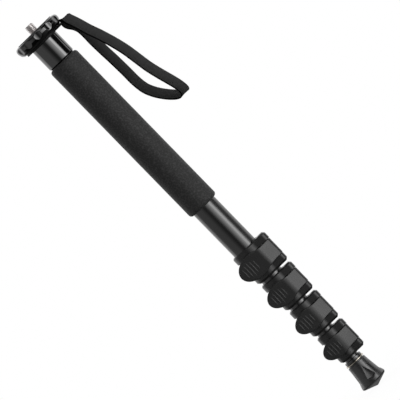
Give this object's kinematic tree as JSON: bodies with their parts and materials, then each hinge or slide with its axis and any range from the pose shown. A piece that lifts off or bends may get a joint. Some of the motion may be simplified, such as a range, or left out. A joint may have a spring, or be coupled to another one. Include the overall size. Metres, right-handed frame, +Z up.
{
  "type": "camera monopod",
  "caption": "Telescoping camera monopod with flip-lever leg locks, foam grip, wrist strap, threaded camera stud on a round platform, and a flared rubber foot.",
  "frame": {"origin": "centre of the camera platform's top face, where the camera stud rises", "axes": "+Z up along the tubes' axis towards the camera; +X towards the wrist strap and the hinge pins of the flip levers; the levers' faces look along -Y"},
  "size_m": [0.1, 0.0552, 0.5021],
  "materials": {
    "steel": "satin",
    "washer_plate": "polished",
    "anodised": "satin",
    "moulding": "satin",
    "brake_rubber": "matte",
    "foam": "matte",
    "webbing": "matte"
  },
  "bodies": {
    "upper": {"camera_screw": "steel", "platform_pad": "brake_rubber", "platform": "anodised", "strap_plate": "moulding", "wrist_strap": "webbing", "neck_sleeve": "anodised", "head_plug": "moulding", "foam_grip": "foam", "upper_tube": "anodised", "lock_1_collar": "moulding", "lock_1_pin": "steel", "lock_1_shoe": "brake_rubber", "lock_1_guide": "moulding"},
    "section_5": {"tube_5": "anodised", "tube_5_bush": "moulding", "foot_plug": "moulding", "foot_screw": "steel", "foot_ferrule": "anodised", "foot_washer": "washer_plate", "rubber_foot": "brake_rubber"},
    "section_2": {"tube_2": "anodised", "tube_2_bush": "moulding", "lock_2_collar": "moulding", "lock_2_pin": "steel", "lock_2_shoe": "brake_rubber", "lock_2_guide": "moulding"},
    "section_3": {"tube_3": "anodised", "tube_3_bush": "moulding", "lock_3_collar": "moulding", "lock_3_pin": "steel", "lock_3_shoe": "brake_rubber", "lock_3_guide": "moulding"},
    "section_4": {"tube_4": "anodised", "tube_4_bush": "moulding", "lock_4_collar": "moulding", "lock_4_pin": "steel", "lock_4_shoe": "brake_rubber", "lock_4_guide": "moulding"},
    "lever_1": {"lock_1_lever": "moulding"},
    "lever_2": {"lock_2_lever": "moulding"},
    "lever_3": {"lock_3_lever": "moulding"},
    "lever_4": {"lock_4_lever": "moulding"}
  },
  "joints": [
    {"name": "section_2_slide", "type": "slide", "parent": "upper", "child": "section_2", "axis": [0, 0, -1], "range_m": [0, 0.2324]},
    {"name": "section_3_slide", "type": "slide", "parent": "section_2", "child": "section_3", "axis": [0, 0, -1], "range_m": [0, 0.272]},
    {"name": "section_4_slide", "type": "slide", "parent": "section_3", "child": "section_4", "axis": [0, 0, -1], "range_m": [0, 0.3103]},
    {"name": "section_5_slide", "type": "slide", "parent": "section_4", "child": "section_5", "axis": [0, 0, -1], "range_m": [0, 0.3486]},
    {"name": "lever_1_hinge", "type": "hinge", "parent": "upper", "child": "lever_1", "pos_m": [0.0197, -0.0098, -0.3204], "axis": [0, 0, 1], "range_deg": [0, 120]},
    {"name": "lever_2_hinge", "type": "hinge", "parent": "section_2", "child": "lever_2", "pos_m": [0.0182, -0.0083, -0.35935], "axis": [0, 0, 1], "range_deg": [0, 120]},
    {"name": "lever_3_hinge", "type": "hinge", "parent": "section_3", "child": "lever_3", "pos_m": [0.0167, -0.0068, -0.39765], "axis": [0, 0, 1], "range_deg": [0, 120]},
    {"name": "lever_4_hinge", "type": "hinge", "parent": "section_4", "child": "lever_4", "pos_m": [0.0152, -0.0053, -0.43595], "axis": [0, 0, 1], "range_deg": [0, 120]}
  ]
}
